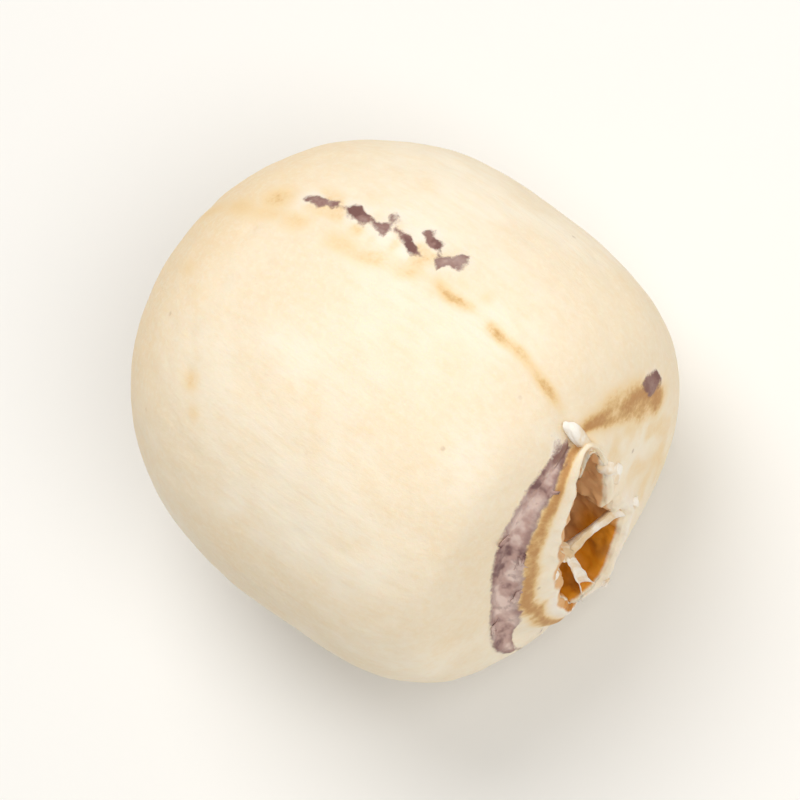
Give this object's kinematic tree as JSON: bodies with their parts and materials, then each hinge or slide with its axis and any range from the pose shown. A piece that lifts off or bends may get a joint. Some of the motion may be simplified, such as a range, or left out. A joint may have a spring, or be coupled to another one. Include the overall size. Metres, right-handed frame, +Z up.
{
  "type": "lotus seed",
  "caption": "Dried, peeled lotus seed: a cream barrel-shaped ovoid with a drilled base, a cored channel through it and a split tip with a purple-brown collar, lying on its side.",
  "frame": {"origin": "on the flat spot the seed rests on, below its widest section", "axes": "+X along the seed's own axis towards the split tip, +Z up, away from the surface it rests on"},
  "size_m": [0.0136, 0.013, 0.0128],
  "materials": {
    "dried_flesh": "matte, chalky, purple-brown skin left at the collar and along the seam"
  },
  "bodies": {
    "root": {"lotus_seed": "dried_flesh"}
  },
  "joints": []
}
